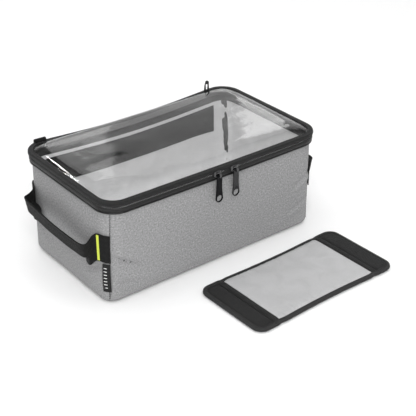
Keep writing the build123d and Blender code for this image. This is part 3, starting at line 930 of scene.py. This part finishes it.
# Lid film and loops
def film_height(x, y):
    """Height of the clear lid: a low dome with soft buckles and a crumpled front left corner."""
    edge_x, edge_y = TOP_HALF[0] + 1.0 - np.abs(x), TOP_HALF[1] + 1.0 - np.abs(y)
    inside = -12 * np.log(np.exp(-edge_x / 12) + np.exp(-edge_y / 12))
    rise = 1 - np.exp(-np.maximum(inside - 3.5, 0) / (9 + 6 * smooth(40, -60, y)))
    flat = xyz(x, y, np.zeros_like(x))
    loose = smooth(4, 34, inside)
    waves = 1.5 * cloud(flat * (1, 1.3, 1), 95, 11.0) + 0.22 * cloud(flat * (0.8, 1.6, 1), 30, 15.0)
    corner = hump(0, 26, np.hypot(x + 164, y + 88)) + 0.5 * hump(0, 22, np.hypot(x - 164, y + 88))
    crumple = corner * (1.0 * cloud(flat, 13, 19.0) + 0.25 * cloud(flat, 7, 21.0)) * smooth(3, 12, inside)
    ridge = 0.9 * hump(-0.32 * (x + 186) - 46, 5, y) * hump(-150, 26, x) * loose
    return 160.75 + 7.6 * rise + waves * loose + crumple + ridge


def lid_pieces():
    """The clear film and the two webbing loops."""
    x, y = rounded_floor(TOP_HALF[0] + 1.2, TOP_HALF[1] + 1.2, TOP_RADIUS + 1.2, 200, 126)
    flat = xyz(x, y, film_height(x, y))
    sag = settle(flat) - flat
    inside = np.minimum(TOP_HALF[0] - np.abs(x), TOP_HALF[1] - np.abs(y))
    film = slab("clear_lid_film", flat + sag * (1 - smooth(2, 16, inside))[..., None], 0.5, FILM)
    dress(film, "lid", "clear_window", "lid_window")
    for name in ("left", "right"):
        low, high = box_mm(f"loop_{name}")
        turn, width = (0.0, 18.0) if name == "left" else (radians(40), 11.0)
        centre, tall = (low + high) / 2, high[2] - LID_HIGH
        u = np.linspace(0, 1, 44)
        half = 1.9
        leg = tall - half
        length = 2 * leg + pi * half
        d = u * length
        side = np.where(d < leg, -half, np.where(d > leg + pi * half, half,
                                                -half * np.cos((d - leg) / half)))
        up = np.where(d < leg, d, np.where(d > leg + pi * half, length - d,
                                          leg + half * np.sin(np.clip((d - leg) / half, 0, pi))))
        rows = []
        for w in np.linspace(-width / 2, width / 2, 12):
            lean = 0.05 * up * w / width * 2 + 0.3 * np.sin(up / 4)
            a, b = w + 0.06 * up, side * (1 + 0.1 * cos(w)) + lean
            x = centre[0] + a * cos(turn) - b * sin(turn)
            y = centre[1] + a * sin(turn) + b * cos(turn)
            rows.append(xyz(x, y, LID_HIGH - 0.6 + up))
        loop = slab(f"lid_loop_{name}", settle(np.array(rows)), 1.1, WEBBING)
        dress(loop, "lid", "black_webbing", f"loop_{name}")


# Handles, stripe and tag
def curve_through(points, count):
    """A smooth line through given points."""
    p = np.array(points, float)
    p = np.concatenate([[2 * p[0] - p[1]], p, [2 * p[-1] - p[-2]]])
    knots = np.concatenate([[0], np.cumsum(np.linalg.norm(np.diff(p, axis=0), axis=1) ** 0.5)])
    line = []
    for t in np.linspace(knots[1], knots[-2], count):
        k = int(np.clip(np.searchsorted(knots, t) - 1, 1, len(p) - 3))
        t0, t1, t2, t3 = knots[k - 1:k + 3]
        a1 = (t1 - t) / (t1 - t0) * p[k - 1] + (t - t0) / (t1 - t0) * p[k]
        a2 = (t2 - t) / (t2 - t1) * p[k] + (t - t1) / (t2 - t1) * p[k + 1]
        a3 = (t3 - t) / (t3 - t2) * p[k + 1] + (t - t2) / (t3 - t2) * p[k + 2]
        b1 = (t2 - t) / (t2 - t0) * a1 + (t - t0) / (t2 - t0) * a2
        b2 = (t3 - t) / (t3 - t1) * a2 + (t - t1) / (t3 - t1) * a3
        line.append((t2 - t) / (t2 - t1) * b1 + (t - t1) / (t2 - t1) * b2)
    return np.array(line)


def handle_path(sign):
    """Plan of the handle's webbing: round the corner, out to the grip and back to the far seam."""
    half_x, half_y, radius = half_plan(88)
    stand = radius + 2.4
    corner = [(half_x - radius + stand * sin(a), half_y - radius + stand * cos(a))
              for a in np.radians((44, 56, 68, 80))]
    out_near = [(190.8, 84.2), (195.6, 81.2), (201.5, 79.8), (206.2, 77.2), (208.6, 71.0), (209.6, 56.0)]
    out_far = [(209.8, 58.0), (208.9, 70.0), (206.4, 76.4), (200.0, 79.4), (193.6, 81.6), (190.8, 84.6)]
    near = [(x, -y) for x, y in corner + out_near]
    far = out_far + corner[::-1]
    points = near + [(211.2, -22.0), (211.8, 8.0), (211.0, 36.0)] + far
    return np.array([(sign * x, y) for x, y in points])


def handle_piece(name, sign):
    """One length of webbing: flat on the corner, falling and folding in half to make the grip."""
    path = curve_through(handle_path(sign), 260)
    steps = np.concatenate([[0], np.cumsum(np.linalg.norm(np.diff(path, axis=0), axis=1))])
    tangent = unit(np.gradient(path, axis=0))
    out = xyz(tangent[:, 1], -tangent[:, 0]) * (1 if sign > 0 else -1)
    gone = steps - steps[np.argmax(path[:, 1] > -84.2)]
    left_over = steps[np.argmax(path[:, 1] > 84.2)] - steps
    from_wall = np.minimum(gone, left_over)
    away = smooth(3, 18, from_wall)
    drop = 13.0 * smooth(-1, 17, from_wall)
    rise = 5.0 * smooth(-70, 70, path[:, 1])
    fold = np.radians(172) * smooth(7, 27, from_wall)
    middle = 88 - drop + rise * away
    bend = 2.4
    rows = []
    for w in np.linspace(-WEB / 2, WEB / 2, 34):
        lower = np.maximum(-w, 0.0)
        turn = np.minimum(lower / bend, fold)
        straight = np.maximum(lower - bend * fold, 0.0)
        inward = bend * (1 - np.cos(turn)) + straight * np.sin(fold) * 1.0
        down = bend * np.sin(turn) + straight * np.cos(fold)
        height = middle + max(w, 0.0) - down
        tilt = 0.16 * away * (height - middle)
        flutter = 0.35 * noise.noise(Vector((w / 9, sign * 4.0, 0.0))) * away
        side = -inward + tilt + flutter
        rows.append(xyz(path[:, 0] + out[:, 0] * side, path[:, 1] + out[:, 1] * side, height))
    grid = np.array(rows)
    wave = 0.35 * cloud(grid, 17, sign * 6.0) * away[None]
    grid[..., 2] += wave
    grid = grid[:, ::sign]
    strap = slab(f"handle_webbing_{name}", grid, 1.7, WEBBING)
    seam = xyz(path[:, 0] + out[:, 0] * 0.3, path[:, 1], middle + 17.5)
    places, directions = walk(seam[88:172], 3.4)
    stitches = beads("grip_stitches", places, directions, 2.6, 0.4, THREAD)
    strap = join(f"handle_webbing_{name}", [strap, stitches])
    if name == "left":
        on = ((path[:, 1] > -87.8) & (path[:, 1] < -84.2))[::-1]
        face = (grid + 0.5 * surface_normals(grid))[1:-1, on]
        dress(slab("lime_stripe", face, 0.45, LIME), "bag", "lime_accent", "accent_stripe")
    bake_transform(strap)
    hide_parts(f"handle_{name}", f"handle_anchors_{name}")


def on_corner(low, high, start_y, end_y, stand, count=14, rows=20):
    """A patch that lies on the front left corner, between two distances along the end wall."""
    grid = []
    for z in np.linspace(low, high, rows):
        half_x, half_y, radius = half_plan(z)
        line = []
        for y in np.linspace(start_y, end_y, count):
            depth = abs(y) - (half_y - radius)
            r = radius + stand
            x = half_x - radius + (sqrt(max(r * r - depth * depth, 0.0)) if depth > 0 else r)
            line.append((-x, y, z))
        grid.append(line)
    return np.array(grid)


def corner_trim():
    """The folded tag in the corner seam, with its woven marks."""
    face = on_corner(TAG_LOW, TAG_HIGH, -91.3, -100.4, 1.2, rows=30)
    face[..., 0] -= 0.7 * np.sin(np.linspace(0, pi, 30))[:, None] * np.linspace(1, 0.2, 14)[None]
    tag = slab("corner_tag", face[:, ::-1], 0.9, TAG)
    dress(tag, "bag", "tag_fabric", "seam_tag")
    marks = []
    for k in range(7):
        z = TAG_LOW + 6 + k * 5.2
        line = on_corner(z, z + 1.1, -93.4, -97.4, 1.75, 6, 3)
        line[..., 0] -= 0.7 * sin(pi * (z - TAG_LOW) / 44)
        marks.append(slab(f"mark_{k}", line[:, ::-1], 0.3, TAG_MARK))
    dress(join("tag_marks", marks), "bag", "tag_fabric")


# Divider
DIVIDER_TURN = radians(1.1)
DIVIDER_CORNER = 17.0
DIVIDER_BINDING = 7.4
FOLD = 100.5
PATCH = 90.0
DIVIDER_ENDS = np.array([box_mm("flap_left_binding"), box_mm("flap_right_binding")])
DIVIDER_LOW, DIVIDER_TOP = DIVIDER_ENDS.min(axis=(0, 1)), DIVIDER_ENDS.max(axis=(0, 1))
DIVIDER_PLACE = (DIVIDER_LOW + DIVIDER_TOP) / 2
DIVIDER_HIGH = DIVIDER_TOP[2]


def divider_half():
    """Half length and half width of the turned divider, from the box it fills."""
    reach = (DIVIDER_TOP - DIVIDER_LOW)[:2] / 2 - DIVIDER_CORNER
    c, s = cos(DIVIDER_TURN), sin(DIVIDER_TURN)
    straight = np.array([reach[0] * c - reach[1] * s, reach[1] * c - reach[0] * s]) / (c * c - s * s)
    return straight + DIVIDER_CORNER


DIVIDER_HALF = divider_half()


def lay(points):
    """From the divider's own axes to the frame."""
    p = np.array(points, float)
    c, s = cos(DIVIDER_TURN), sin(DIVIDER_TURN)
    x, y = p[..., 0].copy(), p[..., 1].copy()
    p[..., 0] = DIVIDER_PLACE[0] + c * x - s * y
    p[..., 1] = DIVIDER_PLACE[1] + s * x + c * y
    return p


def waist(a):
    """How far the long sides draw in along the divider."""
    return 2.6 * np.clip(1 - (np.asarray(a, float) / 88.0) ** 2, 0, 1) + 1.3 * hump(PATCH, 5, np.abs(a))


def divider_binding(name, path):
    """A rounded binding along a path on the divider's edge."""
    path = np.array(path, float)
    tangent = unit(np.gradient(path, axis=0))
    side = xyz(-tangent[:, 1], tangent[:, 0])
    rows = []
    for angle in np.linspace(0, 2 * pi, 18, endpoint=False):
        c, s = cos(angle), sin(angle)
        swell = 1 + 0.05 * np.array([noise.noise(Vector((p[0] / 13, p[1] / 13, 2.0))) for p in path])
        across = (DIVIDER_BINDING / 2 - 0.2) * np.sign(c) * abs(c) ** 0.85 * swell
        z = DIVIDER_HIGH / 2 + 0.1 + (DIVIDER_HIGH / 2 - 0.1) * np.sign(s) * abs(s) ** 0.85 * swell
        rows.append(xyz(path[:, 0] + side[:, 0] * across, path[:, 1] + side[:, 1] * across, z))
    piece = tube(name, lay(np.array(rows)), BINDING_PALE, closed_u=False)
    height = np.full(len(path), DIVIDER_HIGH - 0.15)
    inner = xyz(path[:, 0] + 2 * side[:, 0], path[:, 1] + 2 * side[:, 1], height)
    places, directions = walk(lay(inner), 3.2)
    return join(name, [piece, beads("stitch", places, directions, 2.3, 0.3, THREAD)])


def divider_pad(name, start, stop, material, top, ribs=0.0, puckers=0.0):
    """A soft closed pad between the bindings, with puckers along its edges or ribs across it."""
    along = np.linspace(start, stop, max(int(abs(stop - start) * 1.1), 12))
    across = np.linspace(-1, 1, 340 if ribs else 120)
    a, share = np.meshgrid(along, across)
    reach = DIVIDER_HALF[1] - 4.6 - waist(a)
    over = np.abs(a) - (DIVIDER_HALF[0] - DIVIDER_CORNER)
    inner = DIVIDER_CORNER - 4.6
    cut = np.where(over > 0, inner - np.sqrt(np.maximum(inner ** 2 - np.clip(over, 0, inner) ** 2, 0)), 0)
    b = share * (reach - cut)
    flat = xyz(a, b, np.zeros_like(a))
    near_edge = (1 - np.abs(share)) * reach
    rim = smooth(0, 7, near_edge) * smooth(0, 5, np.minimum(a - start, stop - a) + 1.5)
    z = top - 1.6 * (1 - rim) + 0.8 * cloud(flat * (0.6, 1, 1), 38, 2.0) * rim
    if puckers:
        z = z + puckers * hump(8, 7, near_edge) * cloud(flat * (1, 0.25, 1), 4.2, 8.0)
    if ribs:
        z = z + ribs * (np.abs(np.sin(pi * b / 2.6)) - 0.5) * rim
    return slab(name, lay(xyz(a, b, z)), top - 1.1, material)


def divider_pieces():
    """The loose divider: puffy pad, rounded bindings and two hook-faced flaps that fold."""
    pad = divider_pad("divider_cushion", -PATCH, PATCH, FACE, DIVIDER_HIGH + 0.3, puckers=0.9)
    dress(pad, "divider", "divider_face", "divider_backing", "divider_core", "divider_face")
    hooks = [divider_pad(f"hook_{n}", *ends, HOOKS, DIVIDER_HIGH - 0.3, ribs=0.8)
             for n, ends in enumerate(((-FOLD + 0.3, -PATCH), (PATCH, FOLD - 0.3)))]
    dress(join("divider_hook_bands", hooks), "divider", "hook_fastener", "divider_hook_strips")
    a = np.linspace(-FOLD + 0.3, FOLD - 0.3, 140)
    for name, sign in (("near", -1), ("far", 1)):
        b = sign * (DIVIDER_HALF[1] - DIVIDER_BINDING / 2 - waist(a))
        edge = divider_binding(f"divider_edge_{name}", xyz(-sign * a, b))
        if name == "near":
            dress(edge, "divider", "black_binding", "divider_side_bindings")
        else:
            dress(edge, "divider", "black_binding")
    for name, sign in (("left", -1), ("right", 1)):
        ends = sorted((sign * (FOLD + 0.3), sign * (DIVIDER_HALF[0] - 4.6)))
        body = f"flap_{name}"
        hook = divider_pad(f"flap_hook_pad_{name}", *ends, HOOKS, DIVIDER_HIGH - 0.3, ribs=0.8)
        dress(hook, body, "hook_fastener", f"flap_{name}_hook", f"flap_{name}_web")
        r = DIVIDER_CORNER - DIVIDER_BINDING / 2
        centre = (DIVIDER_HALF[0] - DIVIDER_CORNER, DIVIDER_HALF[1] - DIVIDER_CORNER)
        straight = np.linspace(FOLD + 0.3, centre[0], 10, endpoint=False)
        arc = np.radians(np.linspace(0, 90, 20))
        line = [(x, -centre[1] - r) for x in straight]
        line += [(centre[0] + r * sin(t), -centre[1] - r * cos(t)) for t in arc]
        line += [(centre[0] + r, y) for y in np.linspace(-centre[1], centre[1], 60)[1:-1]]
        line += [(centre[0] + r * cos(t), centre[1] + r * sin(t)) for t in arc]
        line += [(x, centre[1] + r) for x in straight[::-1]]
        line = np.array(line)
        line[:, 1] -= np.sign(line[:, 1]) * waist(line[:, 0]) * (np.abs(line[:, 1]) > centre[1])
        if sign < 0:
            line = -line
        edge = divider_binding(f"flap_edge_{name}", line)
        dress(edge, body, "black_binding", f"flap_{name}_binding")


# Sliders and pulls
# A slider's front and back plates: y, half width, half height, dome and thickness. Its bail's line: y and z
SLIDER_PLATES = ((-115.6, 6.5, 4.8, -1.5, 1.5), (-109.2, 6.0, 4.8, 0.5, 0.8))
BAIL_LINE = [
    (-115.9, 156.6), (-118.6, 156.7), (-121.2, 155.9), (-122.4, 153.4), (-122.0, 150.9), (-119.6, 149.4),
    (-116.0, 149.2),
]
# A pull's section, from its hole to its rim: share of the way, and share of its half thickness
PULL_HALF_THICKNESS = 1.0
PULL_SECTION = (
    (0.0, 0.55), (0.06, 0.95), (0.2, 1.0), (0.45, 0.8), (0.7, 0.8), (0.86, 1.0), (0.96, 0.9), (1.0, 0.5),
    (1.0, -0.6), (0.94, -1.0), (0.1, -1.0), (0.0, -0.6),
)
PULL_HOLE = 4.6
PULL_NECK = 4.5


def slider_piece(name):
    """A cast slider: domed front plate, flat back plate, neck between them and an arched bail."""
    low, high = box_mm(f"slider_{name}")
    middle = (low + high) / 2
    parts = []
    for y, half_x, half_z, dome, thick in SLIDER_PLATES:
        x, z = rounded_floor(half_x, half_z, 2.3, 26, 20)
        edge = np.maximum(np.abs(x) / half_x, np.abs(z) / half_z)
        face = xyz(middle[0] + x, y + dome * (1 - edge ** 4), middle[2] - 0.2 + z)
        parts.append(slab("plate", face[:, ::-1] if dome > 0 else face, thick, PAINT))
    neck = [(middle[0] + 2.8 * cos(a), middle[2] - 0.2 + 0.65 * sin(a))
            for a in np.linspace(0, 2 * pi, 16, endpoint=False)]
    parts.append(tube("neck", [[(x, y, z) for y in np.linspace(-115.2, -109.5, 6)] for x, z in neck], PAINT,
                      closed_u=False))
    line = curve_through(BAIL_LINE, 40)
    step = unit(np.gradient(line, axis=0))
    rows = []
    for a in np.linspace(0, 2 * pi, 12, endpoint=False):
        across, out = 1.5 * cos(a), 0.72 * sin(a)
        y, z = line[:, 0] + step[:, 1] * out, line[:, 1] - step[:, 0] * out
        rows.append(xyz(np.full(40, middle[0] + across), y, z))
    parts.append(tube("bail", np.array(rows), PAINT, closed_u=False))
    dress(join(f"zip_slider_{name}", parts), f"slider_{name}", "slider_metal", f"slider_{name}")


def pull_piece(name, material):
    """A cast pull: tapered tongue with a raised rim, swelling to a ring round its hole."""
    low, high = box_mm(f"pull_{name}")
    middle = (low + high) / 2
    ring = (high[0] - low[0]) / 2 - 0.1
    hole_z = low[2] + ring + 0.1
    outline = []
    for angle in np.linspace(-0.5 * pi, 1.5 * pi, 120, endpoint=False):
        c, s = cos(angle), sin(angle)
        outline.append((ring * c, hole_z + ring * s, PULL_HOLE * c, hole_z + PULL_HOLE * s))
    rows = [[] for step in PULL_SECTION]
    top = high[2] - 0.1
    for x, z, hole_x, hole_y in outline:
        if z > hole_z:
            share = (z - hole_z) / ring
            z = hole_z + (top - hole_z) * share ** 1.35
            taper = ring + (PULL_NECK - ring) * min((z - hole_z) / 16, 1) ** 0.8
            end = sqrt(max(1 - max((z - top + 3) / 3, 0) ** 2, 0))
            x = math.copysign(taper * end, x) if abs(x) > 1e-6 else 0.0
        for row, (t, share) in zip(rows, PULL_SECTION):
            y = middle[1] - share * PULL_HALF_THICKNESS
            row.append((middle[0] + hole_x + (x - hole_x) * t, y, hole_y + (z - hole_y) * t))
    pull = tube(f"zip_pull_{name}", np.array(rows), material)
    dress(pull, f"pull_{name}", "slider_metal", f"pull_{name}")


# CAD pieces that stay, and the studio
def finish_cad():
    """Give every CAD node that is still shown its own detailed finish."""
    for name, material in (("zip_stops", PAINT), ("base_board", FELT)):
        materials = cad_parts[name].data.materials
        materials.clear()
        materials.append(material)


def studio():
    """White sweep, soft boxes and camera."""
    scene = bpy.context.scene
    bpy.ops.mesh.primitive_grid_add(x_subdivisions=60, y_subdivisions=60, size=14)
    floor = bpy.context.object
    floor.name = "studio_sweep"
    for vertex in floor.data.vertices:
        past = max(hypot(vertex.co.x, vertex.co.y) - 3.0, 0.0)
        vertex.co.z = 0.18 * past ** 2
    floor.data.shade_smooth()
    floor.location.z = -0.0008
    floor.data.materials.append(FLOOR)
    world = bpy.data.worlds.new("studio_world")
    scene.world = world
    world.use_nodes = True
    background = world.node_tree.nodes["Background"]
    kinds = ("TexCoord", "SeparateXYZ", "ValToRGB")
    direction, height, sky = [world.node_tree.nodes.new("ShaderNode" + kind) for kind in kinds]
    link = world.node_tree.links.new
    link(direction.outputs["Generated"], height.inputs[0])
    link(height.outputs["Z"], sky.inputs["Fac"])
    link(sky.outputs["Color"], background.inputs["Color"])
    sky.color_ramp.elements[0].position = 0.6
    sky.color_ramp.elements[0].color = (0.08, 0.08, 0.08, 1)
    sky.color_ramp.elements[1].position = 0.9
    sky.color_ramp.elements[1].color = (1, 1, 1, 1)
    background.inputs["Strength"].default_value = 1.65
    boxes = (("key", (-1.0, -1.6, 1.5), (0, -0.05, 0.05), 1.2, 0.9, 26),
             ("edge", (-0.34, 1.6, 1.42), (-0.18, 0, 0.16), 0.15, 0.14, 2.0),
             ("haze_left", (0.62, 1.65, 1.15), (-0.1, 0, 0.16), 0.5, 0.7, 1.0),
             ("haze_right", (1.75, 1.65, 1.15), (0.15, 0, 0.16), 0.3, 0.7, 1.1))
    for name, place, aim, size_x, size_y, power in boxes:
        light = bpy.data.lights.new(f"softbox_{name}", "AREA")
        light.shape = "RECTANGLE"
        light.size, light.size_y, light.energy = size_x, size_y, power
        lamp = bpy.data.objects.new(f"softbox_{name}", light)
        scene.collection.objects.link(lamp)
        lamp.location = place
        lamp.rotation_euler = (Vector(aim) - Vector(place)).to_track_quat("-Z", "Y").to_euler()
    lens = bpy.data.cameras.new("camera")
    lens.lens, lens.sensor_width = 89.25, 36.0
    camera = bpy.data.objects.new("camera", lens)
    scene.collection.objects.link(camera)
    camera.location = (-0.7985, -1.1063, 0.8214)
    camera.rotation_euler = (radians(90 - 29.686), 0, radians(-37.966))
    scene.camera = camera
    scene.view_settings.view_transform = "Standard"


PIPING = ribbed_tape("glossy_piping", 0.007, 1.4, roughness=0.3, depth=0.00012)
BINDING_PALE = ribbed_tape("divider_binding", 0.022, 1.0, roughness=0.7)
# The left pull's copy of the gloss paint has its coat and specular turned low: painted shade, so that pull
# looks darker, as if it reflected darker surroundings. The two pulls have the same paint.
PULL_SHADED_PAINT = gloss_paint("pull_paint_shaded", 0.03, 0.06)
PULL_PAINT = gloss_paint("pull_paint", 0.2, 0.3)
FLOOR = pale_floor()

wall_pieces()
floor_pieces()
rim_pieces()
trim_pieces()
seam_pieces()
lid_pieces()
handle_piece("left", -1)
handle_piece("right", 1)
corner_trim()
divider_pieces()
slider_piece("left")
slider_piece("right")
pull_piece("left", PULL_SHADED_PAINT)
pull_piece("right", PULL_PAINT)
finish_cad()
studio()
